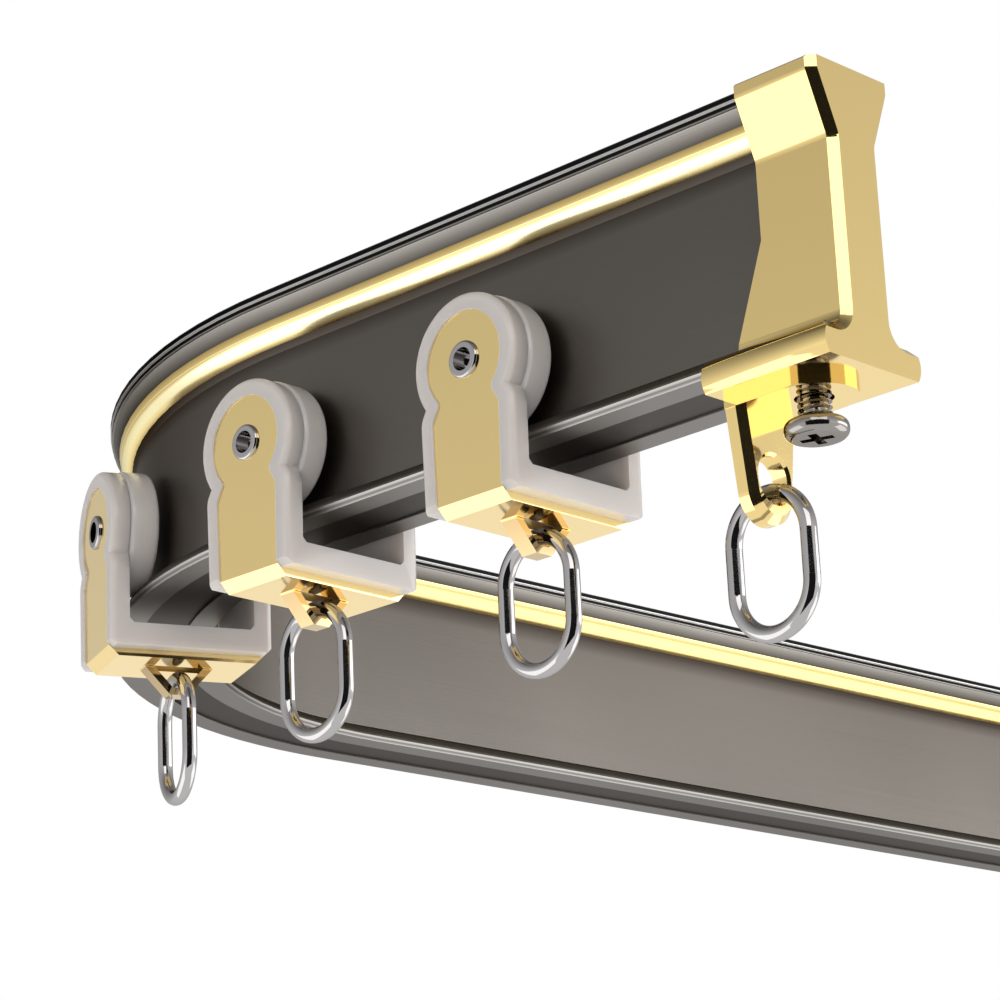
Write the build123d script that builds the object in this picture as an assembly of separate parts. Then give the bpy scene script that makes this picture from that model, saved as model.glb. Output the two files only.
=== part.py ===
from build123d import *
import math
import os

# Curtain track: a bent aluminium rail with a gold trim strip on each face, an end cap with a
# clamp screw and a hanging tab at each end, and three roller carriages, each with its oval ring.
#
# Frame, in mm. The origin is on the rail's top face, over its centre line, where the near arm meets
# the bend. +Z is up, the near arm runs along +X, and the bend's centre lies towards +Y.
# A sub-part of a carriage or an end is drawn at the origin with -Y facing out of the bend and +X
# along the rail, and is then carried to its place.

# Rail: route
NEAR_LENGTH = 92.6          # straight arm, from the bend to the outer face of its end cap
FAR_LENGTH = 205.0          # straight arm past the bend, to the outer face of its end cap
BEND_RADIUS = 80.0          # to the rail's centre line
BEND_ANGLE = 92.0           # degrees

# Rail: section
RAIL_HEIGHT = 32.9
TOP_HALF = 6.6              # half width over the top lips
LIP_HEIGHT = 0.85           # upper lip face
LIP_STEP = 0.2              # how far the lower lip face lies inside the upper one
LOWER_LIP_HEIGHT = 0.8
SHOULDER_TOP_HALF = 6.1     # half width where the satin shoulder starts
SEAT_TOP = (5.35, -3.65)    # upper edge of the trim strip's seat: half width, height
SEAT_FOOT = (3.5, -6.5)     # lower edge of the trim strip's seat
SHOULDER_FOOT_DROP = 0.9    # from the seat's foot down to the plain web
WEB_HALF = 3.1
FOOT_HEIGHT = 2.2           # from the underside up to the ledge that the wheels roll on
LEDGE_FILLET = 1.2          # between web and ledge
LEDGE_FLAT_HALF = 6.1       # half width of the flat of the ledge
NOSE_HALF = 7.15            # half width over the rounded noses
NOSE_RISE = 0.75            # the nose's widest line above the underside
UNDERSIDE_HALF = 6.75
RECESS_HALF = 3.1           # the middle of the underside is set back between these lines
RECESS_DEPTH = 0.3
CHAMBER_WALL = 1.3          # web wall round the hollow chamber
CHAMBER_ROOF = -1.6
CHAMBER_TOP_HALF = 4.3
CHAMBER_NECK = -6.6
CHAMBER_FLOOR_RISE = 1.5    # from the ledge up to the chamber's floor

# Gold trim strip
TRIM_BULGE = 0.45           # height of the strip's round back over its seat

# End cap
CAP_WALL_END = 1.6          # wall across the rail's end
CAP_CLEARANCE = 0.15        # between the rail and the cap's hollow
CAP_TOP = 0.8               # the cap's top above the rail's top
CAP_TOP_HALF = 7.2
CAP_BOX_TOP = -0.9          # upper edge of the slanted box face
CAP_WEB_HALF = 4.2
CAP_BOX_FOOT = -8.2         # lower edge of the slanted box face
CAP_FOOT_FILLET = 2.2       # between the cap's web and its foot
CAP_FOOT_STEP = 0.6         # the top of the cap's foot below the rail's ledge
CAP_NOSE_HALF = 8.5
CAP_NOSE_DROP = 0.5         # the foot's widest line below the rail's underside
CAP_FOOT_HALF = 7.9         # half width of the foot's flat underside
CAP_NOSE_LEAN = 0.4         # the foot's top edge stands this much inside the underside's
CAP_FOOT_DEPTH = 2.4        # from the rail's underside down to the cap's
CAP_BOX_LENGTH = 11.4
CAP_FOOT_LENGTH = 18.0
CAP_WEB_LOWER_LENGTH = 15.7
CAP_WEB_KINK = -17.7        # above here the web is as long as the box
CAP_CORNER_ROUND = 1.2      # rounding of the box's widest corners
CAP_KINK_ROUND = 1.5        # between the slanted box face and the web
CAP_EDGE_CHAMFER = 1.0      # down the sides of the outer end face
CAP_TOP_CHAMFER = 0.3       # along the cap's top edges

# Clamp screw, M4 with a pan head
SCREW_SETBACK = 8.8         # from the cap's outer face to the screw's axis
SCREW_RADIUS = 2.0
SCREW_FIT = 0.05            # radial, in the cap's tapped hole
SCREW_HEAD_RADIUS = 3.75
SCREW_HEAD_HEIGHT = 2.2
SCREW_GAP = 2.65            # from the head up to the tab's tongue, as the screw stands
SCREW_ENTRY = 1.5           # how far its tip reaches above the rail's underside
RAIL_DRILL_RADIUS = 2.3     # clearance hole in the rail for the screw's tip
RAIL_DRILL_DEPTH = 5.2
RECESS_ARM = 4.4            # cross recess, tip to tip
RECESS_WIDTH = 1.0
RECESS_DEEP = 1.5
RECESS_TAPER = 8            # degrees

# Hanging tab
TONGUE_THICKNESS = 1.2
TONGUE_HALF = 5.2
TONGUE_HOLE_CLEARANCE = 0.3
TAB_THICKNESS = 2.4
TAB_OUTER_SETBACK = 15.25   # from the cap's outer face to the tab's outer side
TAB_DROP = 14.25            # from the cap's underside to the tab's foot
TAB_FOOT_HALF = 3.8
TAB_EDGE = 0.9              # chamfer round the tab's outer face
SLOT_HALF = 2.55
SLOT_EDGE = 0.35            # chamfer round the slot
SLOT_TOP_DROP = 6.25        # from the cap's underside to the slot's top
SLOT_FOOT_DROP = 11.85      # and to its foot

# Oval rings
RING_WIRE = 1.0             # wire radius
RING_BEND = 5.45            # radius of the round ends, to the wire's centre
RING_STRAIGHT = 5.5         # length of the straight sides
RING_HANG_GAP = 0.4         # between the wire and what carries it

# Carriage: heights and places
WHEEL_RADIUS = 8.6
WHEEL_RIDE = 0.15           # between the wheel and the ledge
WHEEL_INNER_FACE = 4.6      # distance from the rail's centre plane
WHEEL_SIDE_CLEARANCE = 0.1
WHEEL_BORE_CLEARANCE = 0.05
WHEEL_ROUND = 0.7           # rounding of the tread's edges
CARRIAGE_NEAR_X = 40.2      # the carriage beside the end cap
CARRIAGE_MIDDLE_X = 1.0
CARRIAGE_BEND_ANGLE = 26.9  # place of the third carriage round the bend
CARRIAGE_BEND_SKEW = 4.0    # how far the play lets it turn on the rail

# Bracket: a gold-plated strip folded into a U, with a bridge pressed out of its base
PLATE_FACE = 11.1           # outer face of each leg, from the rail's centre plane
PLATE_THICKNESS = 1.0
PLATE_HEAD_RADIUS = 6.2
PLATE_WAIST_HALF = 4.0
PLATE_WAIST_DROP = 4.05     # from the axle down to the waist
PLATE_SHOULDER_HALF = 5.6
PLATE_SHOULDER_DROP = 6.65  # from the axle down to the shoulders
PLATE_WAIST_ROUND = 1.0     # rounding of the waist and the shoulders
PLATE_FOOT_HALF = 5.4
BASE_DROP = 7.75            # from the rail's underside down to the base's underside
BASE_CHAMFER = 1.4          # sloped corner between leg and base
BASE_INNER_BEND = 0.7       # the same corner on the inside
BRIDGE_HALF_WIDTH = 1.2
BRIDGE_SPAN_HALF = 4.85     # half length of the opening that the bridge leaves
BRIDGE_FLOOR_HALF = 1.3     # half length of the bridge's level middle
BRIDGE_DROP = 3.9           # from the base's underside down to the bridge's underside
BRIDGE_SLIT = 0.15          # beside the bridge

# Liner: a white nylon U between bracket and rail
LINER_RIM = 2.2             # how far it reaches past the plate all round
LINER_PROUD = 0.3           # how far its rim stands past the plate's face
LINER_THICKNESS = 2.6
LINER_FLOOR = 3.1           # thickness of the bar across the bottom
LINER_ROUND = 0.8
LINER_CORNER = 0.6          # slope across the inner corners

# Axle rivets
RIVET_RADIUS = 1.9
RIVET_FLANGE_RADIUS = 2.35
RIVET_FLANGE_PROUD = 0.45
RIVET_RECESS_RADIUS = 1.45
RIVET_RECESS_DEPTH = 2.2
RIVET_TAIL_RADIUS = 2.5
RIVET_TAIL_THICKNESS = 0.6

LEDGE_TOP = FOOT_HEIGHT - RAIL_HEIGHT
CHAMBER_FLOOR = LEDGE_TOP + CHAMBER_FLOOR_RISE
CAP_FOOT_TOP = LEDGE_TOP - CAP_FOOT_STEP
CAP_NOSE_LEVEL = -RAIL_HEIGHT - CAP_NOSE_DROP
CAP_BOTTOM = -RAIL_HEIGHT - CAP_FOOT_DEPTH
SCREW_TIP = SCREW_ENTRY - RAIL_HEIGHT
TAB_BOTTOM = CAP_BOTTOM - TAB_DROP
SLOT_TOP = CAP_BOTTOM - SLOT_TOP_DROP
SLOT_FOOT = CAP_BOTTOM - SLOT_FOOT_DROP
AXLE_HEIGHT = LEDGE_TOP + WHEEL_RIDE + WHEEL_RADIUS
BASE_BOTTOM = -RAIL_HEIGHT - BASE_DROP
LINER_FACE = PLATE_FACE + LINER_PROUD
LINER_INNER = LINER_FACE - LINER_THICKNESS
LINER_UNDERSIDE = BASE_BOTTOM + PLATE_THICKNESS
WHEEL_OUTER_FACE = LINER_INNER - WHEEL_SIDE_CLEARANCE
TONGUE_BOTTOM = CAP_BOTTOM - TONGUE_THICKNESS
SCREW_HEAD_TOP = TONGUE_BOTTOM - SCREW_GAP
BEND_CENTRE = (0, BEND_RADIUS, 0)


def section(points):
    """A closed face in the YZ plane from (y, z) corners."""
    return Plane.YZ * make_face(Polyline(*[(y, z) for y, z in points], close=True))


def mirrored(right_half):
    """The corners of the right half, then the same corners mirrored, bottom to top."""
    return right_half + [(-y, z) for y, z in reversed(right_half)]


def bend_place(angle):
    """The place on the rail's centre line at an angle in degrees round the bend."""
    return Pos(*BEND_CENTRE) * Rot(0, 0, -angle) * Pos(0, -BEND_RADIUS, 0)


ENDS = {
    "near": Pos(NEAR_LENGTH, 0, 0),
    "far": bend_place(BEND_ANGLE) * Pos(-FAR_LENGTH, 0, 0) * Rot(0, 0, 180),
}
CARRIAGES = {
    "near": Pos(CARRIAGE_NEAR_X, 0, 0),
    "middle": Pos(CARRIAGE_MIDDLE_X, 0, 0),
    "bend": bend_place(CARRIAGE_BEND_ANGLE) * Rot(0, 0, CARRIAGE_BEND_SKEW),
}


def along_rail(profile, near_end, far_end):
    """A profile in the YZ plane run along both straight arms and round the bend."""
    near = extrude(profile, near_end, dir=(1, 0, 0))
    bend = revolve(profile, Axis(BEND_CENTRE, (0, 0, -1)), revolution_arc=BEND_ANGLE)
    far = bend_place(BEND_ANGLE) * extrude(profile, far_end, dir=(-1, 0, 0))
    return near + bend + far


def disc(radius, face, back, height=AXLE_HEIGHT):
    """A round solid on an axle line: from y = -face inwards to y = -back."""
    flat = Plane(origin=(0, -face, height), x_dir=(1, 0, 0), z_dir=(0, 1, 0)) * Circle(radius)
    return extrude(flat, face - back)


def rail_outline():
    """The rail's outer section: top lips, shoulders with the trim seats, web, and foot."""
    lower_lip = TOP_HALF - LIP_STEP
    lip_foot = -LIP_HEIGHT - LOWER_LIP_HEIGHT
    nose_level = -RAIL_HEIGHT + NOSE_RISE
    half = [
        (TOP_HALF, 0),
        (TOP_HALF, -LIP_HEIGHT),
        (lower_lip, -LIP_HEIGHT),
        (lower_lip, lip_foot),
        (SHOULDER_TOP_HALF, lip_foot),
        SEAT_TOP,
        SEAT_FOOT,
        (WEB_HALF, SEAT_FOOT[1] - SHOULDER_FOOT_DROP),
        (WEB_HALF, LEDGE_TOP + LEDGE_FILLET),
        (WEB_HALF + LEDGE_FILLET, LEDGE_TOP),
        (LEDGE_FLAT_HALF, LEDGE_TOP),
        (NOSE_HALF, nose_level),
        (UNDERSIDE_HALF, -RAIL_HEIGHT),
        (RECESS_HALF, -RAIL_HEIGHT),
        (RECESS_HALF, -RAIL_HEIGHT + RECESS_DEPTH),
    ]
    return section(mirrored(half))


def chamber_outline():
    """The hollow inside the shoulders and the web."""
    inner = WEB_HALF - CHAMBER_WALL
    half = [
        (CHAMBER_TOP_HALF, CHAMBER_ROOF),
        (inner, CHAMBER_NECK),
        (inner, CHAMBER_FLOOR),
    ]
    return section(mirrored(half))


def rail():
    """The bent aluminium extrusion, drilled at each end for the clamp screw's tip."""
    profile = rail_outline() - chamber_outline()
    body = along_rail(profile, NEAR_LENGTH - CAP_WALL_END, FAR_LENGTH - CAP_WALL_END)
    drill = Pos(0, 0, -RAIL_HEIGHT) * extrude(Circle(RAIL_DRILL_RADIUS), RAIL_DRILL_DEPTH)
    for place in ENDS.values():
        body -= place * Pos(-SCREW_SETBACK, 0, 0) * drill
    return body


def trim_strip(side):
    """One gold strip: a round back on a flat seat. Side 1 is the inside of the bend, -1 the outside."""
    top_y, top_z = SEAT_TOP
    foot_y, foot_z = SEAT_FOOT
    chord = math.hypot(top_y - foot_y, top_z - foot_z)
    out_y = (top_z - foot_z) / chord
    out_z = -(top_y - foot_y) / chord
    crown_y = (top_y + foot_y) / 2 + out_y * TRIM_BULGE
    crown_z = (top_z + foot_z) / 2 + out_z * TRIM_BULGE
    crown = (side * crown_y, crown_z)
    top = (side * top_y, top_z)
    foot = (side * foot_y, foot_z)
    outline = ThreePointArc(top, crown, foot) + Line(foot, top)
    profile = Plane.YZ * make_face(outline)
    return along_rail(profile, NEAR_LENGTH - CAP_BOX_LENGTH, FAR_LENGTH - CAP_BOX_LENGTH)


def cap_outline():
    """The end cap's outer section, which follows the rail's."""
    half = [
        (CAP_TOP_HALF - CAP_TOP_CHAMFER, CAP_TOP),
        (CAP_TOP_HALF, CAP_TOP - CAP_TOP_CHAMFER),
        (CAP_TOP_HALF, CAP_BOX_TOP),
        (CAP_WEB_HALF, CAP_BOX_FOOT),
    ]
    foot_top_y = CAP_WEB_HALF + CAP_FOOT_FILLET
    fillet_start = (CAP_WEB_HALF, CAP_FOOT_TOP + CAP_FOOT_FILLET)
    fillet_end = (foot_top_y, CAP_FOOT_TOP)
    nose_start = (CAP_FOOT_HALF - CAP_NOSE_LEAN, CAP_FOOT_TOP)
    nose = (CAP_NOSE_HALF, CAP_NOSE_LEVEL)
    foot = (CAP_FOOT_HALF, CAP_BOTTOM)
    line = Polyline((0, CAP_TOP), *half, fillet_start)
    line += TangentArc(fillet_start, fillet_end, tangent=(0, -1))
    line += Line(fillet_end, nose_start)
    line += ThreePointArc(nose_start, nose, foot)
    line += Line(foot, (0, CAP_BOTTOM))
    line += Line((0, CAP_BOTTOM), (0, CAP_TOP))
    right = make_face(line)
    outline = right + mirror(right, Plane.YZ)
    corners = [corner for corner in outline.vertices() if abs(corner.Y - CAP_BOX_TOP) < 0.01]
    outline = fillet(corners, CAP_CORNER_ROUND)
    kinks = [corner for corner in outline.vertices() if abs(corner.Y - CAP_BOX_FOOT) < 0.01]
    return Plane.YZ * fillet(kinks, CAP_KINK_ROUND)


def cap_hollow():
    """The rail's space in the cap, with its clearance all round."""
    gap = CAP_CLEARANCE
    half = [
        (TOP_HALF + gap, gap),
        (TOP_HALF + gap, -LIP_HEIGHT - LOWER_LIP_HEIGHT),
        (SEAT_TOP[0] + gap * 1.5, SEAT_TOP[1]),
        (SEAT_FOOT[0] + gap * 1.5, SEAT_FOOT[1]),
        (WEB_HALF + gap, SEAT_FOOT[1] - SHOULDER_FOOT_DROP),
        (WEB_HALF + gap, LEDGE_TOP + LEDGE_FILLET + gap),
        (WEB_HALF + LEDGE_FILLET, LEDGE_TOP + gap),
        (LEDGE_FLAT_HALF + gap, LEDGE_TOP + gap),
        (NOSE_HALF + gap, -RAIL_HEIGHT + NOSE_RISE),
        (NOSE_HALF + gap, -RAIL_HEIGHT - gap),
    ]
    return section(mirrored(half))


def end_cap():
    """The gold die-cast cap over the rail's end, its outer face at x = 0."""
    block = extrude(cap_outline(), CAP_FOOT_LENGTH, dir=(-1, 0, 0))
    end_face = block.faces().sort_by(Axis.X)[-1]
    sides = [edge for edge in end_face.edges() if CAP_FOOT_TOP + 0.1 < edge.center().Z < CAP_BOX_TOP]
    block = chamfer(sides, CAP_EDGE_CHAMFER)
    # The sides are cut back: a short box, a web that widens downwards, and a full-length foot.
    reach = CAP_FOOT_LENGTH + 1
    foot_line = CAP_FOOT_TOP + CAP_FOOT_FILLET / 2
    cut = [
        (-reach, CAP_TOP + 1),
        (-CAP_BOX_LENGTH, CAP_TOP + 1),
        (-CAP_BOX_LENGTH, CAP_WEB_KINK),
        (-CAP_WEB_LOWER_LENGTH, CAP_FOOT_TOP + CAP_FOOT_FILLET),
        (-CAP_WEB_LOWER_LENGTH, foot_line),
        (-reach, foot_line),
    ]
    cutter = Plane.XZ * make_face(Polyline(*cut, close=True))
    block -= extrude(cutter, CAP_NOSE_HALF * 2, both=True)
    block -= Pos(-CAP_WALL_END, 0, 0) * extrude(cap_hollow(), CAP_FOOT_LENGTH, dir=(-1, 0, 0))
    tapped_hole = extrude(Circle(SCREW_RADIUS + SCREW_FIT), -CAP_BOTTOM - RAIL_HEIGHT)
    return block - Pos(-SCREW_SETBACK, 0, CAP_BOTTOM) * tapped_hole


def clamp_screw():
    """The M4 pan-head screw, put in from below, with a cross recess."""
    shank = Pos(0, 0, SCREW_HEAD_TOP) * extrude(Circle(SCREW_RADIUS), SCREW_TIP - SCREW_HEAD_TOP)
    shank = chamfer(shank.edges().sort_by(Axis.Z)[-1], SCREW_RADIUS / 4)
    head_bottom = SCREW_HEAD_TOP - SCREW_HEAD_HEIGHT
    head = Pos(0, 0, head_bottom) * extrude(Circle(SCREW_HEAD_RADIUS), SCREW_HEAD_HEIGHT)
    head = fillet(head.edges().sort_by(Axis.Z)[0], SCREW_HEAD_HEIGHT / 2)
    head = fillet(head.edges().sort_by(Axis.Z)[-1], SCREW_HEAD_HEIGHT / 6)
    arm = Rectangle(RECESS_ARM, RECESS_WIDTH)
    cross = Pos(0, 0, head_bottom) * extrude(arm + Rot(0, 0, 90) * arm, RECESS_DEEP, taper=RECESS_TAPER)
    return Pos(-SCREW_SETBACK, 0, 0) * (shank + head - cross)


def hanging_tab():
    """A bent gold plate: a tongue under the cap, held by the screw, and a slotted upright plate."""
    inner_x = -TAB_OUTER_SETBACK - TAB_THICKNESS
    tongue_length = -SCREW_SETBACK - inner_x
    tongue = Circle(TONGUE_HALF) + Pos(-tongue_length / 2, 0) * Rectangle(tongue_length, 2 * TONGUE_HALF)
    tongue -= Circle(SCREW_RADIUS + TONGUE_HOLE_CLEARANCE)
    tongue = Pos(-SCREW_SETBACK, 0, TONGUE_BOTTOM) * extrude(tongue, TONGUE_THICKNESS)
    foot_circle = Pos(0, TAB_BOTTOM + TAB_FOOT_HALF) * Circle(TAB_FOOT_HALF)
    top_line = Line((-TONGUE_HALF, CAP_BOTTOM), (TONGUE_HALF, CAP_BOTTOM))
    plate = make_hull(foot_circle.edges() + top_line.edges())
    slot = SlotOverall(SLOT_TOP - SLOT_FOOT, 2 * SLOT_HALF, rotation=90)
    plate -= Pos(0, (SLOT_TOP + SLOT_FOOT) / 2) * slot
    upright = Pos(inner_x, 0, 0) * extrude(Plane.YZ * plate, TAB_THICKNESS)
    outer_face = upright.faces().sort_by(Axis.X)[-1]
    upright = chamfer(outer_face.inner_wires()[0].edges(), SLOT_EDGE)
    outer_face = upright.faces().sort_by(Axis.X)[-1]
    outline = [edge for edge in outer_face.outer_wire().edges() if edge.center().Z < CAP_BOTTOM - 1]
    return chamfer(outline, TAB_EDGE) + tongue


def oval_ring(seat):
    """A closed oval of round wire in the XZ plane, hung over a seat at a height."""
    upper = seat + RING_HANG_GAP + RING_WIRE - RING_BEND
    lower = upper - RING_STRAIGHT
    ring = Pos(RING_BEND, 0, lower) * extrude(Circle(RING_WIRE), RING_STRAIGHT)
    ring += Pos(-RING_BEND, 0, lower) * extrude(Circle(RING_WIRE), RING_STRAIGHT)
    for height, turn in ((upper, -1), (lower, 1)):
        wire = Pos(RING_BEND, 0, height) * Circle(RING_WIRE)
        ring += revolve(wire, Axis((0, 0, height), (0, turn, 0)), revolution_arc=180)
    return ring


def leg_outline():
    """The bracket's leg, face on: a round head, a waist, and a lower part down to the base."""
    head = Pos(0, AXLE_HEIGHT) * Circle(PLATE_HEAD_RADIUS)
    right = [
        (PLATE_WAIST_HALF, AXLE_HEIGHT - PLATE_WAIST_DROP),
        (PLATE_SHOULDER_HALF, AXLE_HEIGHT - PLATE_SHOULDER_DROP),
        (PLATE_FOOT_HALF, BASE_BOTTOM),
    ]
    left = [(-x, z) for x, z in reversed(right)]
    outline = head + make_face(Polyline((0, AXLE_HEIGHT), *right, *left, close=True))
    corners = [corner for corner in outline.vertices() if BASE_BOTTOM + 1 < corner.Y]
    return fillet(corners, PLATE_WAIST_ROUND)


def across(outline):
    """A face-on outline extruded right across the carriage."""
    return extrude(Plane.XZ * outline, 2 * LINER_FACE, both=True)


def folded_strip(face, bottom, corner, side, floor, bend):
    """A U-shaped band round the track's foot: sides and floor of given thickness, sloped corners."""
    inner = face - side
    top = AXLE_HEIGHT + WHEEL_RADIUS
    half = [
        (inner - bend, bottom + floor),
        (inner, bottom + floor + bend),
        (inner, top),
        (face, top),
        (face, bottom + corner),
        (face - corner, bottom),
    ]
    return extrude(section(mirrored(half)), 2 * WHEEL_RADIUS, both=True)


def bracket():
    """The gold U-shaped bracket, with a bridge pressed down out of its base for the ring."""
    body = folded_strip(
        PLATE_FACE, BASE_BOTTOM, BASE_CHAMFER, PLATE_THICKNESS, PLATE_THICKNESS, BASE_INNER_BEND
    )
    body &= across(leg_outline())
    slope = (BRIDGE_SPAN_HALF - BRIDGE_FLOOR_HALF) / BRIDGE_DROP
    base_top = BASE_BOTTOM + PLATE_THICKNESS
    outer = BRIDGE_SPAN_HALF + slope * PLATE_THICKNESS
    inner = outer - PLATE_THICKNESS * math.hypot(1, slope)
    half = [
        (inner - slope * BRIDGE_DROP, base_top - BRIDGE_DROP),
        (inner, base_top),
        (outer, base_top),
        (BRIDGE_FLOOR_HALF, BASE_BOTTOM - BRIDGE_DROP),
    ]
    opening = Box(2 * (BRIDGE_HALF_WIDTH + BRIDGE_SLIT), 2 * inner, 3 * PLATE_THICKNESS)
    body -= Pos(0, 0, BASE_BOTTOM) * opening
    body += extrude(section(mirrored(half)), BRIDGE_HALF_WIDTH, both=True)
    return body - disc(RIVET_RADIUS, LINER_FACE, -LINER_FACE)


def liner():
    """The white nylon U inside the bracket: a rim round each leg and a bar across the bottom."""
    body = folded_strip(
        LINER_FACE, LINER_UNDERSIDE, LINER_ROUND, LINER_THICKNESS, LINER_FLOOR, LINER_CORNER
    )
    body &= across(offset(leg_outline(), LINER_RIM))
    corner_top = LINER_UNDERSIDE + LINER_ROUND
    faces = [edge for edge in body.edges() if abs(abs(edge.center().Y) - LINER_FACE) < 0.01]
    body = fillet([edge for edge in faces if edge.center().Z > corner_top + 0.1], LINER_ROUND)
    seat = PLATE_FACE - PLATE_THICKNESS
    pocket = extrude(Plane.XZ * leg_outline(), LINER_THICKNESS)
    body -= Pos(0, -seat, 0) * pocket
    body -= Pos(0, seat + LINER_THICKNESS, 0) * pocket
    body -= bracket()
    return body - disc(RIVET_RADIUS, LINER_FACE, -LINER_FACE)


def wheel():
    """A nylon wheel on the front axle, its tread edges rounded."""
    body = disc(WHEEL_RADIUS, WHEEL_OUTER_FACE, WHEEL_INNER_FACE)
    body = fillet(body.edges(), WHEEL_ROUND)
    return body - disc(RIVET_RADIUS + WHEEL_BORE_CLEARANCE, LINER_FACE, 0)


def axle_rivet():
    """A tubular rivet: a flange on the bracket, the axle through the wheel, and a flared tail."""
    flange_face = PLATE_FACE + RIVET_FLANGE_PROUD
    tail_face = WHEEL_INNER_FACE - WHEEL_SIDE_CLEARANCE
    flange = disc(RIVET_FLANGE_RADIUS, flange_face, PLATE_FACE)
    flange = fillet(flange.edges().sort_by(Axis.Y)[0], RIVET_FLANGE_PROUD * 0.8)
    shank = disc(RIVET_RADIUS, PLATE_FACE, tail_face)
    tail = disc(RIVET_TAIL_RADIUS, tail_face, tail_face - RIVET_TAIL_THICKNESS)
    recess = disc(RIVET_RECESS_RADIUS, flange_face, flange_face - RIVET_RECESS_DEPTH)
    return flange + shank + tail - recess


def save(name, shape):
    """Writes one piece, in the track's frame."""
    export_step(shape, f"parts/{name}.step")


os.makedirs("parts", exist_ok=True)

save("track_rail", rail())
save("trim_strip_outer", trim_strip(-1))
save("trim_strip_inner", trim_strip(1))

tab_middle = -TAB_OUTER_SETBACK - TAB_THICKNESS / 2
for end, place in ENDS.items():
    save(f"end_cap_{end}", place * end_cap())
    save(f"clamp_screw_{end}", place * clamp_screw())
    save(f"hanging_tab_{end}", place * hanging_tab())
    save(f"end_ring_{end}", place * Pos(tab_middle, 0, 0) * oval_ring(SLOT_FOOT))

turned = Rot(0, 0, 180)
for carriage, place in CARRIAGES.items():
    save(f"bracket_{carriage}", place * bracket())
    save(f"liner_{carriage}", place * liner())
    save(f"wheel_front_{carriage}", place * wheel())
    save(f"wheel_back_{carriage}", place * turned * wheel())
    save(f"axle_front_{carriage}", place * axle_rivet())
    save(f"axle_back_{carriage}", place * turned * axle_rivet())
    save(f"ring_{carriage}", place * oval_ring(BASE_BOTTOM - BRIDGE_DROP + PLATE_THICKNESS))
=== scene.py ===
import math

import bpy
from mathutils import Matrix, Vector


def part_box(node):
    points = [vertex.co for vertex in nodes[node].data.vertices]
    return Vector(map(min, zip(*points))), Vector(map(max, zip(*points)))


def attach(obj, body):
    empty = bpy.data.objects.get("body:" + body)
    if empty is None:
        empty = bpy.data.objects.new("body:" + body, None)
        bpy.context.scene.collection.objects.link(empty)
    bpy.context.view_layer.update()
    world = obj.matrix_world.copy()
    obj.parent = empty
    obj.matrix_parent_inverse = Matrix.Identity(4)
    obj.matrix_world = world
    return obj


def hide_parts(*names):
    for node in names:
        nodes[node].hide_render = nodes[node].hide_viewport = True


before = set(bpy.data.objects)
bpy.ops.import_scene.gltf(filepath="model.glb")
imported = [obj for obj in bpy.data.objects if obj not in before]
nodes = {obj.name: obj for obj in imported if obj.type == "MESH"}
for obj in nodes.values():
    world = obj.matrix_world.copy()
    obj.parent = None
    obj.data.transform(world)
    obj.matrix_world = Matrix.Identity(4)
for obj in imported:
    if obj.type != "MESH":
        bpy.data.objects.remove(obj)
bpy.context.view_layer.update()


# Track rail
# A bent aluminium extrusion in dark grey anodising, with near-black top lips and a satin shoulder.
# It is drawn through a die, so faint draw lines run along it at one height all the way round. Its
# colour goes by height too, from the top face to the underside: the near-black lips and the
# grey web are the anodising's own colour, the pale lines at the lip groove, the shoulder's top
# edge and the foot's nose are painted highlights, and the dark brown band below the trim is a
# painted shadow. The shoulder darkens down towards the trim, and the underside is lighter.
DRAW_LINE_SCALE = (6.0, 6.0, 9000.0)
DRAW_LINE_DEPTH = 0.00005
DRAW_LINE_STRENGTH = 0.25
# Colours by height from the top face to the foot: the anodising's own near-black and grey, painted
# highlights as pale lines at the lip groove, the shoulder's top edge and the foot's nose, and a
# painted shadow as the dark brown band below the trim.
RAIL_COLOUR_AND_PAINTED_LIGHT = (
    (0.0000, (0.180, 0.168, 0.154)),
    (-0.00005, (0.150, 0.140, 0.128)),
    (-0.00012, (0.012, 0.012, 0.013)),
    (-0.00072, (0.014, 0.014, 0.014)),
    (-0.00078, (0.950, 0.940, 0.920)),
    (-0.00087, (0.950, 0.940, 0.920)),
    (-0.00094, (0.012, 0.012, 0.013)),
    (-0.00150, (0.014, 0.014, 0.014)),
    (-0.00156, (0.450, 0.430, 0.400)),
    (-0.00172, (0.310, 0.290, 0.265)),
    (-0.00260, (0.190, 0.175, 0.155)),
    (-0.00360, (0.075, 0.068, 0.060)),
    (-0.00660, (0.045, 0.036, 0.028)),
    (-0.00950, (0.130, 0.117, 0.104)),
    (-0.02950, (0.145, 0.132, 0.119)),
    (-0.03080, (0.120, 0.112, 0.104)),
    (-0.03165, (0.170, 0.162, 0.152)),
    (-0.03200, (0.400, 0.385, 0.365)),
    (-0.03230, (0.400, 0.385, 0.365)),
    (-0.03255, (0.105, 0.100, 0.095)),
    (-0.03290, (0.400, 0.388, 0.372)),
)


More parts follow.
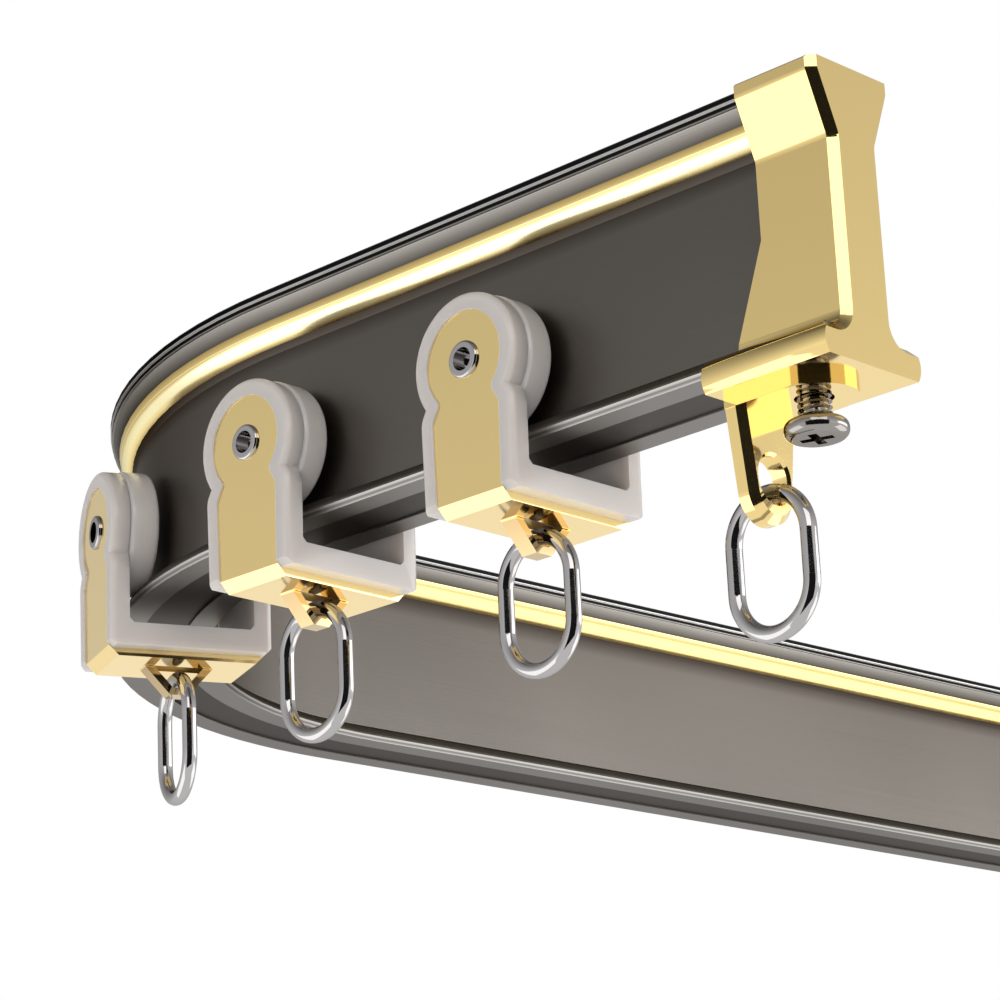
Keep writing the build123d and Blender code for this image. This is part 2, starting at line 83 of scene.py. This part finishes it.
def draw_lines(material):
    """Fine lines left by the die: noise that changes fast with height, hardly along the rail."""
    tree = material.node_tree
    shader = tree.nodes["Principled BSDF"]
    place = tree.nodes.new("ShaderNodeTexCoord")
    stretch = tree.nodes.new("ShaderNodeMapping")
    stretch.inputs["Scale"].default_value = DRAW_LINE_SCALE
    grain = tree.nodes.new("ShaderNodeTexNoise")
    grain.inputs["Scale"].default_value = 1.0
    grain.inputs["Detail"].default_value = 6.0
    bump = tree.nodes.new("ShaderNodeBump")
    bump.inputs["Strength"].default_value = DRAW_LINE_STRENGTH
    bump.inputs["Distance"].default_value = DRAW_LINE_DEPTH
    tree.links.new(place.outputs["Object"], stretch.inputs["Vector"])
    tree.links.new(stretch.outputs["Vector"], grain.inputs["Vector"])
    tree.links.new(grain.outputs["Fac"], bump.inputs["Height"])
    tree.links.new(bump.outputs["Normal"], shader.inputs["Normal"])
    return place, grain


def finish_node(name, material):
    """Gives a piece one finish all over."""
    mesh = nodes[name].data
    mesh.materials.clear()
    mesh.materials.append(material)


def colour_and_painted_light_by_height(tree, place, bands):
    """A colour for each height on a piece, from bands of (height, colour), top to foot; the bands
    carry painted light and shade along with the piece's own colour.
    """
    top, foot = bands[0][0], bands[-1][0]
    split = tree.nodes.new("ShaderNodeSeparateXYZ")
    scale = tree.nodes.new("ShaderNodeMapRange")
    scale.inputs["From Min"].default_value = foot
    scale.inputs["From Max"].default_value = top
    ramp = tree.nodes.new("ShaderNodeValToRGB")
    stops = ramp.color_ramp.elements
    stops[0].color = (*bands[-1][1], 1.0)
    stops[-1].color = (*bands[0][1], 1.0)
    for height, colour in bands[1:-1]:
        stops.new((height - foot) / (top - foot)).color = (*colour, 1.0)
    tree.links.new(place.outputs["Object"], split.inputs["Vector"])
    tree.links.new(split.outputs["Z"], scale.inputs["Value"])
    tree.links.new(scale.outputs["Result"], ramp.inputs["Fac"])
    return ramp


rail_anodising_and_painted_light = bpy.data.materials.new("dark_anodised_aluminium_and_painted_light")
rail_anodising_and_painted_light.use_nodes = True
rail_shader = rail_anodising_and_painted_light.node_tree.nodes["Principled BSDF"]
rail_shader.inputs["Metallic"].default_value = 1.0
rail_shader.inputs["Specular Tint"].default_value = (0.36, 0.35, 0.34, 1.0)
rail_place, rail_grain = draw_lines(rail_anodising_and_painted_light)
rail_tree = rail_anodising_and_painted_light.node_tree
rail_colour_and_painted_light = colour_and_painted_light_by_height(rail_tree, rail_place, RAIL_COLOUR_AND_PAINTED_LIGHT)
rail_cloud = rail_tree.nodes.new("ShaderNodeTexNoise")
rail_cloud.inputs["Scale"].default_value = 22.0
rail_cloud.inputs["Detail"].default_value = 1.0
rail_level = rail_tree.nodes.new("ShaderNodeMapRange")
rail_level.inputs["From Min"].default_value = 0.3
rail_level.inputs["From Max"].default_value = 0.7
rail_level.inputs["To Min"].default_value = 0.92
rail_level.inputs["To Max"].default_value = 1.08
rail_toned_colour_and_painted_light = rail_tree.nodes.new("ShaderNodeVectorMath")
rail_toned_colour_and_painted_light.operation = "SCALE"
rail_tree.links.new(rail_place.outputs["Object"], rail_cloud.inputs["Vector"])
rail_tree.links.new(rail_cloud.outputs["Fac"], rail_level.inputs["Value"])
rail_tree.links.new(rail_colour_and_painted_light.outputs["Color"], rail_toned_colour_and_painted_light.inputs["Vector"])
rail_tree.links.new(rail_level.outputs["Result"], rail_toned_colour_and_painted_light.inputs["Scale"])
rail_tree.links.new(rail_toned_colour_and_painted_light.outputs["Vector"], rail_shader.inputs["Base Color"])
rail_rough = rail_tree.nodes.new("ShaderNodeMapRange")
rail_rough.inputs["To Min"].default_value = 0.32
rail_rough.inputs["To Max"].default_value = 0.42
rail_tree.links.new(rail_grain.outputs["Fac"], rail_rough.inputs["Value"])
rail_tree.links.new(rail_rough.outputs["Result"], rail_shader.inputs["Roughness"])
finish_node("track_rail", rail_anodising_and_painted_light)


# Gold trim strips
# A polished gold strip with a round back, pressed into the seat along each shoulder of the rail.
# The outer one has painted light in its colour: a darker painted reflection along its upper edge,
# a fine pale painted highlight line, a pale painted highlight on its crown and a darker painted
# reflection at its foot.
def plated(name, edge, roughness, variation, colour=None, bands=None):
    """A plated metal: one colour, or bands by height with painted light and shade in them, and
    another colour at a flat angle.
    """
    material = bpy.data.materials.new(name)
    material.use_nodes = True
    tree = material.node_tree
    shader = tree.nodes["Principled BSDF"]
    shader.inputs["Metallic"].default_value = 1.0
    shader.inputs["Specular Tint"].default_value = (*edge, 1.0)
    place = tree.nodes.new("ShaderNodeTexCoord")
    if bands:
        banded = colour_and_painted_light_by_height(tree, place, bands)
        tree.links.new(banded.outputs["Color"], shader.inputs["Base Color"])
    else:
        shader.inputs["Base Color"].default_value = (*colour, 1.0)
    cloud = tree.nodes.new("ShaderNodeTexNoise")
    cloud.inputs["Scale"].default_value = 350.0
    cloud.inputs["Detail"].default_value = 4.0
    rough = tree.nodes.new("ShaderNodeMapRange")
    rough.inputs["To Min"].default_value = roughness - variation
    rough.inputs["To Max"].default_value = roughness + variation
    tree.links.new(place.outputs["Object"], cloud.inputs["Vector"])
    tree.links.new(cloud.outputs["Fac"], rough.inputs["Value"])
    tree.links.new(rough.outputs["Result"], shader.inputs["Roughness"])
    return material


# Colours by height on the outer strip, all painted light over its gold: a darker painted
# reflection along the upper edge, a fine painted highlight line, a painted highlight on the crown
# and a darker painted reflection at the foot.
TRIM_PAINTED_LIGHT = (
    (-0.00365, (0.420, 0.300, 0.105)),
    (-0.00390, (0.560, 0.410, 0.155)),
    (-0.00450, (0.680, 0.510, 0.210)),
    (-0.00456, (0.960, 0.820, 0.460)),
    (-0.00462, (0.960, 0.820, 0.460)),
    (-0.00468, (0.640, 0.480, 0.190)),
    (-0.00490, (0.760, 0.590, 0.270)),
    (-0.00515, (0.970, 0.880, 0.560)),
    (-0.00590, (0.970, 0.870, 0.520)),
    (-0.00625, (0.880, 0.700, 0.330)),
    (-0.00650, (0.480, 0.350, 0.140)),
)
TRIM_EDGE = (0.94, 0.88, 0.66)
TRIM_GLOSS = {"roughness": 0.21, "variation": 0.03}
inner_trim = plated(
    "polished_gold_strip_inner", TRIM_EDGE, colour=(0.84, 0.64, 0.26), **TRIM_GLOSS
)
outer_trim_painted_light = plated("polished_gold_strip_outer_painted_light", TRIM_EDGE, bands=TRIM_PAINTED_LIGHT, **TRIM_GLOSS)
finish_node("trim_strip_inner", inner_trim)
finish_node("trim_strip_outer", outer_trim_painted_light)


# End caps and hanging tabs
# Zinc castings plated pale gold. The cap slides over the rail's end, and the tab's tongue lies
# under it, held by the clamp screw.
ENDS = ("near", "far")
GOLD_EDGE = (1.0, 0.99, 0.97)
CAP_EDGE_WIDTH = 0.00018
WELD_GAP = 0.000001


def soft_edges(name, width):
    """Rounds a piece's sharp edges a little, so that they catch the light."""
    piece = nodes[name]
    weld = piece.modifiers.new("weld", "WELD")
    weld.merge_threshold = WELD_GAP
    edges = piece.modifiers.new("edges", "BEVEL")
    edges.width = width
    edges.segments = 2
    edges.limit_method = "ANGLE"
    edges.angle_limit = math.radians(35)
    edges.harden_normals = True


cap_finish = plated(
    "pale_gold_casting", GOLD_EDGE, roughness=0.08, variation=0.02, colour=(0.88, 0.665, 0.28)
)
for end in ENDS:
    finish_node(f"end_cap_{end}", cap_finish)
    finish_node(f"hanging_tab_{end}", cap_finish)
    soft_edges(f"end_cap_{end}", CAP_EDGE_WIDTH)


# Carriage brackets
# A strip of gold plated steel folded into a U under the rail, with a bridge pressed down for the
# ring. The bridge, below the base's underside, is a darker brown gold: painted shade.
BRIDGE_PAINTED_SHADE = (
    (-0.04070, (0.90, 0.69, 0.31)),
    (-0.04090, (0.46, 0.33, 0.17)),
    (-0.04455, (0.56, 0.42, 0.22)),
)
CARRIAGES = ("near", "middle", "bend")
bracket_gold_and_painted_shade = plated(
    "gold_plated_steel_and_painted_shade", GOLD_EDGE, roughness=0.09, variation=0.02, bands=BRIDGE_PAINTED_SHADE
)
for carriage in CARRIAGES:
    finish_node(f"bracket_{carriage}", bracket_gold_and_painted_shade)


# Nylon liners and wheels
# Moulded white nylon, slightly translucent, with a thin gloss, a fine moulded texture and edges
# that are softly rounded. Each liner lies in its bracket, and two wheels run beside it.
NYLON_EDGE_WIDTH = 0.00022
nylon = bpy.data.materials.new("white_nylon")
nylon.use_nodes = True
nylon_tree = nylon.node_tree
nylon_shader = nylon_tree.nodes["Principled BSDF"]
nylon_shader.inputs["Base Color"].default_value = (0.62, 0.570, 0.54, 1.0)
nylon_shader.inputs["Roughness"].default_value = 0.24
nylon_shader.inputs["Coat Weight"].default_value = 0.35
nylon_shader.inputs["Coat Roughness"].default_value = 0.10
nylon_shader.inputs["Subsurface Weight"].default_value = 0.60
nylon_shader.inputs["Subsurface Radius"].default_value = (0.0040, 0.0032, 0.0026)
nylon_shader.inputs["Subsurface Scale"].default_value = 1.0
nylon_place = nylon_tree.nodes.new("ShaderNodeTexCoord")
nylon_grain = nylon_tree.nodes.new("ShaderNodeTexNoise")
nylon_grain.inputs["Scale"].default_value = 2600.0
nylon_bump = nylon_tree.nodes.new("ShaderNodeBump")
nylon_bump.inputs["Strength"].default_value = 0.12
nylon_bump.inputs["Distance"].default_value = 0.00004
nylon_tree.links.new(nylon_place.outputs["Object"], nylon_grain.inputs["Vector"])
nylon_tree.links.new(nylon_grain.outputs["Fac"], nylon_bump.inputs["Height"])
nylon_tree.links.new(nylon_bump.outputs["Normal"], nylon_shader.inputs["Normal"])
for carriage in CARRIAGES:
    for piece in ("liner", "wheel_front", "wheel_back"):
        finish_node(f"{piece}_{carriage}", nylon)
        soft_edges(f"{piece}_{carriage}", NYLON_EDGE_WIDTH)


# Rings and rivets
# Bright nickel plated steel: oval rings of bent wire in the carriages' bridges and the tabs'
# slots, and the tubular rivets that carry the wheels.
nickel = plated(
    "bright_nickel",
    edge=(0.66, 0.65, 0.65),
    roughness=0.06,
    variation=0.02,
    colour=(0.46, 0.445, 0.445),
)
for carriage in CARRIAGES:
    for piece in ("ring", "axle_front", "axle_back"):
        finish_node(f"{piece}_{carriage}", nickel)
for end in ENDS:
    finish_node(f"end_ring_{end}", nickel)


# Clamp screws
# M4 pan-head screws of dark nickelled steel, each with a real thread and a cross recess in its
# head. The thread is a profile one pitch high, wound round the axis and cut level at both ends.
HEAD_HEIGHT = 0.0022
HEAD_ROUND = 0.00098
RECESS_ARM = (0.0045, 0.00125, 0.0030)
RECESS_TAPER = 0.72
RECESS_TURN = math.radians(20)
THREAD_PITCH = 0.0007
THREAD_ROOT = 0.00160
THREAD_CREST = 0.00200
THREAD_DEPTH = THREAD_CREST - THREAD_ROOT
ROOT_FLAT = 0.00010
CREST_FLAT = 0.00008
FLANK_RISE = 0.00021
THREAD_PROFILE = (
    (0.0, ROOT_FLAT),
    (THREAD_DEPTH, FLANK_RISE),
    (0.0, CREST_FLAT),
    (-THREAD_DEPTH, FLANK_RISE),
    (0.0, ROOT_FLAT),
)
THREAD_TURNS = 18
THREAD_STEPS = 40
THREAD_START_IN_HEAD = 0.75
screw_finish = plated(
    "dark_nickel",
    edge=(0.62, 0.60, 0.58),
    roughness=0.09,
    variation=0.03,
    colour=(0.32, 0.30, 0.285),
)


def only(piece):
    """Selects one piece and makes it the active one."""
    bpy.ops.object.select_all(action="DESELECT")
    piece.select_set(True)
    bpy.context.view_layer.objects.active = piece


def cut_away(piece, height, keep_above):
    """Cuts a piece level at a height, keeps one side and closes the cut."""
    only(piece)
    bpy.ops.object.mode_set(mode="EDIT")
    bpy.ops.mesh.select_all(action="SELECT")
    bpy.ops.mesh.bisect(
        plane_co=(0.0, 0.0, height),
        plane_no=(0.0, 0.0, 1.0),
        use_fill=True,
        clear_inner=keep_above,
        clear_outer=not keep_above,
    )
    bpy.ops.object.mode_set(mode="OBJECT")


for end in ENDS:
    screw_low, screw_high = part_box(f"clamp_screw_{end}")
    screw_x = (screw_low[0] + screw_high[0]) / 2
    screw_y = (screw_low[1] + screw_high[1]) / 2
    head_radius = (screw_high[0] - screw_low[0]) / 2
    head_bottom = screw_low[2]
    head_middle = head_bottom + HEAD_HEIGHT / 2
    tip = screw_high[2]

    bpy.ops.object.select_all(action="DESELECT")
    bpy.ops.mesh.primitive_plane_add(size=0.001, location=(0.0, 0.0, 0.0))
    thread = bpy.context.object
    thread.name = f"screw_{end}"
    bpy.ops.object.mode_set(mode="EDIT")
    bpy.ops.mesh.select_all(action="SELECT")
    bpy.ops.mesh.merge(type="CENTER")
    bpy.ops.transform.translate(value=(THREAD_ROOT, 0.0, head_middle))
    for out, up in THREAD_PROFILE:
        bpy.ops.mesh.extrude_region_move(TRANSFORM_OT_translate={"value": (out, 0.0, up)})
    bpy.ops.object.mode_set(mode="OBJECT")
    wind = thread.modifiers.new("wind", "SCREW")
    wind.screw_offset = THREAD_PITCH
    wind.iterations = THREAD_TURNS
    wind.steps = THREAD_STEPS
    wind.render_steps = THREAD_STEPS
    bpy.ops.object.modifier_apply(modifier="wind")
    bpy.ops.object.mode_set(mode="EDIT")
    bpy.ops.mesh.select_all(action="SELECT")
    bpy.ops.mesh.remove_doubles(threshold=4 * WELD_GAP)
    bpy.ops.mesh.normals_make_consistent(inside=False)
    bpy.ops.object.mode_set(mode="OBJECT")
    cut_away(thread, tip, keep_above=False)
    cut_away(thread, head_bottom + HEAD_HEIGHT * THREAD_START_IN_HEAD, keep_above=True)

    bpy.ops.object.select_all(action="DESELECT")
    bpy.ops.mesh.primitive_cylinder_add(
        vertices=72, radius=head_radius, depth=HEAD_HEIGHT, location=(0.0, 0.0, head_middle)
    )
    head = bpy.context.object
    bpy.ops.object.transform_apply(location=True, rotation=True, scale=True)
    soften = head.modifiers.new("soften", "BEVEL")
    soften.width = HEAD_ROUND
    soften.segments = 7
    soften.limit_method = "ANGLE"
    soften.angle_limit = math.radians(40)
    bpy.ops.object.modifier_apply(modifier="soften")

    for turn in (0.0, math.pi / 2):
        bpy.ops.object.select_all(action="DESELECT")
        bpy.ops.mesh.primitive_cube_add(size=1.0, location=(0.0, 0.0, head_bottom))
        arm = bpy.context.object
        arm.scale = RECESS_ARM
        arm.rotation_euler = (0.0, 0.0, turn + RECESS_TURN)
        bpy.ops.object.transform_apply(location=True, rotation=True, scale=True)
        bpy.ops.object.mode_set(mode="EDIT")
        bpy.ops.mesh.select_all(action="DESELECT")
        bpy.ops.object.mode_set(mode="OBJECT")
        for face in arm.data.polygons:
            face.select = face.normal.z > 0.9
        bpy.ops.object.mode_set(mode="EDIT")
        bpy.ops.transform.resize(value=(RECESS_TAPER, RECESS_TAPER, 1.0))
        bpy.ops.object.mode_set(mode="OBJECT")
        only(head)
        recess = head.modifiers.new("recess", "BOOLEAN")
        recess.operation = "DIFFERENCE"
        recess.solver = "EXACT"
        recess.object = arm
        bpy.ops.object.modifier_apply(modifier="recess")
        bpy.data.objects.remove(arm)

    only(head)
    thread.select_set(True)
    bpy.context.view_layer.objects.active = thread
    bpy.ops.object.join()
    bpy.ops.object.mode_set(mode="EDIT")
    bpy.ops.mesh.select_all(action="SELECT")
    bpy.ops.transform.translate(value=(screw_x, screw_y, 0.0))
    bpy.ops.object.mode_set(mode="OBJECT")
    bpy.ops.object.shade_smooth_by_angle(angle=math.radians(32))
    thread.data.materials.clear()
    thread.data.materials.append(screw_finish)
    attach(thread, f"clamp_screw_{end}")
    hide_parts(f"clamp_screw_{end}")


# Floor
# A plain floor far below the ceiling track, close to white to the camera and pure white in
# polished metal, while all other light sees it as matt paint.
FLOOR_LEVEL = -1.3
FLOOR_SIZE = 12.0
FLOOR_SHARE = 0.6


def white_share(tree, camera_share):
    """How far a surface turns pure white: fully to mirrored rays, by a share to the camera."""
    rays = tree.nodes.new("ShaderNodeLightPath")
    mirrored = tree.nodes.new("ShaderNodeMath")
    mirrored.operation = "MAXIMUM"
    seen = tree.nodes.new("ShaderNodeMath")
    seen.operation = "MULTIPLY"
    seen.inputs[1].default_value = camera_share
    white = tree.nodes.new("ShaderNodeMath")
    white.operation = "MAXIMUM"
    tree.links.new(rays.outputs["Is Glossy Ray"], mirrored.inputs[0])
    tree.links.new(rays.outputs["Is Transmission Ray"], mirrored.inputs[1])
    tree.links.new(rays.outputs["Is Camera Ray"], seen.inputs[0])
    tree.links.new(mirrored.outputs["Value"], white.inputs[0])
    tree.links.new(seen.outputs["Value"], white.inputs[1])
    return white


bpy.ops.object.select_all(action="DESELECT")
bpy.ops.mesh.primitive_plane_add(size=FLOOR_SIZE, location=(0.0, 0.0, FLOOR_LEVEL))
floor = bpy.context.object
floor.name = "floor"
floor_paint = bpy.data.materials.new("pale_floor")
floor_paint.use_nodes = True
floor_tree = floor_paint.node_tree
floor_shader = floor_tree.nodes["Principled BSDF"]
floor_shader.inputs["Base Color"].default_value = (0.90, 0.90, 0.90, 1.0)
floor_shader.inputs["Roughness"].default_value = 0.9
floor_glow = floor_tree.nodes.new("ShaderNodeEmission")
floor_glow.inputs["Color"].default_value = (1.0, 1.0, 1.0, 1.0)
floor_glow.inputs["Strength"].default_value = 1.0
floor_white = white_share(floor_tree, FLOOR_SHARE)
floor_choose = floor_tree.nodes.new("ShaderNodeMixShader")
floor_output = floor_tree.nodes["Material Output"]
floor_tree.links.new(floor_white.outputs["Value"], floor_choose.inputs["Fac"])
floor_tree.links.new(floor_shader.outputs["BSDF"], floor_choose.inputs[1])
floor_tree.links.new(floor_glow.outputs["Emission"], floor_choose.inputs[2])
floor_tree.links.new(floor_choose.outputs["Shader"], floor_output.inputs["Surface"])
floor.data.materials.append(floor_paint)


# Studio room
# An even room light without a direction. The background itself is pure white to the camera and in
# polished metal.
world = bpy.data.worlds.new("studio")
world.use_nodes = True
bpy.context.scene.world = world
world_tree = world.node_tree
room = world_tree.nodes["Background"]
room.inputs["Color"].default_value = (1.0, 1.0, 1.0, 1.0)
room.inputs["Strength"].default_value = 0.48
backdrop = world_tree.nodes.new("ShaderNodeBackground")
backdrop.inputs["Color"].default_value = (1.0, 1.0, 1.0, 1.0)
backdrop.inputs["Strength"].default_value = 1.0
room_white = white_share(world_tree, 1.0)
room_choose = world_tree.nodes.new("ShaderNodeMixShader")
room_output = world_tree.nodes["World Output"]
world_tree.links.new(room_white.outputs["Value"], room_choose.inputs["Fac"])
world_tree.links.new(room.outputs["Background"], room_choose.inputs[1])
world_tree.links.new(backdrop.outputs["Background"], room_choose.inputs[2])
world_tree.links.new(room_choose.outputs["Shader"], room_output.inputs["Surface"])


# Grey dome and dark card
# What the polished metal mirrors: a grey dome above the floor, lighter low down and towards +X,
# and a dark card behind the camera. Neither is in view, and neither shades the track.
DOME_RADIUS = 2.2
DOME_FOOT = -0.2
CARD_PLACE = (0.78, -0.80, -0.195)
CARD_SIZE = (1.85, 1.05)
CARD_TURN = math.radians(44)


def only_mirrored(piece, at_foot, at_top, at_left, at_right):
    """A stage piece that shows in reflections alone, with its own light from foot to top."""
    glow = bpy.data.materials.new(f"{piece.name}_paper")
    glow.use_nodes = True
    tree = glow.node_tree
    place = tree.nodes.new("ShaderNodeTexCoord")
    part = tree.nodes.new("ShaderNodeSeparateXYZ")
    upwards = tree.nodes.new("ShaderNodeMapRange")
    upwards.inputs["To Min"].default_value = at_foot
    upwards.inputs["To Max"].default_value = at_top
    across = tree.nodes.new("ShaderNodeMapRange")
    across.inputs["To Min"].default_value = at_left
    across.inputs["To Max"].default_value = at_right
    level = tree.nodes.new("ShaderNodeMath")
    level.operation = "MULTIPLY"
    paper = tree.nodes.new("ShaderNodeEmission")
    tree.links.new(place.outputs["Generated"], part.inputs["Vector"])
    tree.links.new(part.outputs["Z"], upwards.inputs["Value"])
    tree.links.new(part.outputs["X"], across.inputs["Value"])
    tree.links.new(upwards.outputs["Result"], level.inputs[0])
    tree.links.new(across.outputs["Result"], level.inputs[1])
    tree.links.new(level.outputs["Value"], paper.inputs["Strength"])
    tree.links.new(paper.outputs["Emission"], tree.nodes["Material Output"].inputs["Surface"])
    piece.data.materials.append(glow)
    piece.visible_camera = False
    piece.visible_diffuse = False
    piece.visible_shadow = False


bpy.ops.object.select_all(action="DESELECT")
bpy.ops.mesh.primitive_uv_sphere_add(
    segments=96, ring_count=48, radius=DOME_RADIUS, location=(0.0, 0.0, 0.0)
)
dome = bpy.context.object
dome.name = "grey_dome"
bpy.ops.object.mode_set(mode="EDIT")
bpy.ops.mesh.select_all(action="SELECT")
bpy.ops.mesh.bisect(plane_co=(0.0, 0.0, DOME_FOOT), plane_no=(0.0, 0.0, 1.0), clear_inner=True)
bpy.ops.object.mode_set(mode="OBJECT")
only_mirrored(dome, at_foot=1.0, at_top=0.08, at_left=0.95, at_right=1.28)

bpy.ops.object.select_all(action="DESELECT")
bpy.ops.mesh.primitive_plane_add(
    size=1.0, location=CARD_PLACE, rotation=(math.radians(90), 0.0, CARD_TURN)
)
card = bpy.context.object
card.name = "dark_card"
card.scale = (*CARD_SIZE, 1.0)
only_mirrored(card, at_foot=0.015, at_top=0.015, at_left=1.0, at_right=1.0)


# Soft boxes
# Large soft lights: one high behind the camera, three low ones that light the track from below, a
# long one at the far right that the far arm's inner face mirrors, and a fill below the camera.
LIT_POINT = (0.02, 0.03, -0.03)


def soft_box(name, place, width, height, watts, mirrored=True):
    """An area lamp that faces the track, out of the camera's sight, mirrored in metal or not."""
    light = bpy.data.lights.new(name, "AREA")
    light.shape = "RECTANGLE"
    light.size = width
    light.size_y = height
    light.energy = watts
    lamp = bpy.data.objects.new(name, light)
    bpy.context.scene.collection.objects.link(lamp)
    lamp.location = place
    away = Vector(place) - Vector(LIT_POINT)
    lamp.rotation_euler = away.to_track_quat("Z", "Y").to_euler()
    lamp.visible_camera = False
    lamp.visible_glossy = mirrored


soft_box("high_soft_box", (1.10, -0.88, 0.72), width=1.5, height=0.75, watts=5.0)
soft_box("low_soft_box_left", (-0.93, -0.93, -0.72), width=1.5, height=1.1, watts=5.3)
soft_box(
    "low_soft_box_far", (-0.98, 1.04, -0.62), width=1.5, height=0.9, watts=3.8, mirrored=False
)
soft_box("low_soft_box_right", (0.75, 1.20, -0.80), width=1.4, height=1.0, watts=5.3)
soft_box("long_soft_box", (1.15, 1.37, 0.25), width=1.6, height=0.45, watts=5.8)
soft_box("fill_soft_box", (0.80, -0.75, -0.55), width=0.7, height=0.7, watts=3.5, mirrored=False)


# Camera
# It looks up at the near arm from below, as in the photograph: its place, its turn and its lens
# were fitted to the photograph together with the rail's section.
CAMERA_PLACE = (0.306452, -0.286481, -0.161173)
CAMERA_TURN = math.radians(43.509)
CAMERA_RISE = math.radians(17.587)
CAMERA_ROLL = math.radians(-2.6818)
CAMERA_LENS = 122.547
camera_data = bpy.data.cameras.new("camera")
camera_data.lens = CAMERA_LENS
camera_data.sensor_width = 36.0
camera_data.clip_start = 0.01
camera = bpy.data.objects.new("camera", camera_data)
bpy.context.scene.collection.objects.link(camera)
camera.matrix_world = (
    Matrix.Translation(Vector(CAMERA_PLACE))
    @ Matrix.Rotation(CAMERA_TURN, 4, "Z")
    @ Matrix.Rotation(math.pi / 2 + CAMERA_RISE, 4, "X")
    @ Matrix.Rotation(CAMERA_ROLL, 4, "Z")
)
bpy.context.scene.camera = camera
bpy.context.scene.view_settings.view_transform = "Standard"
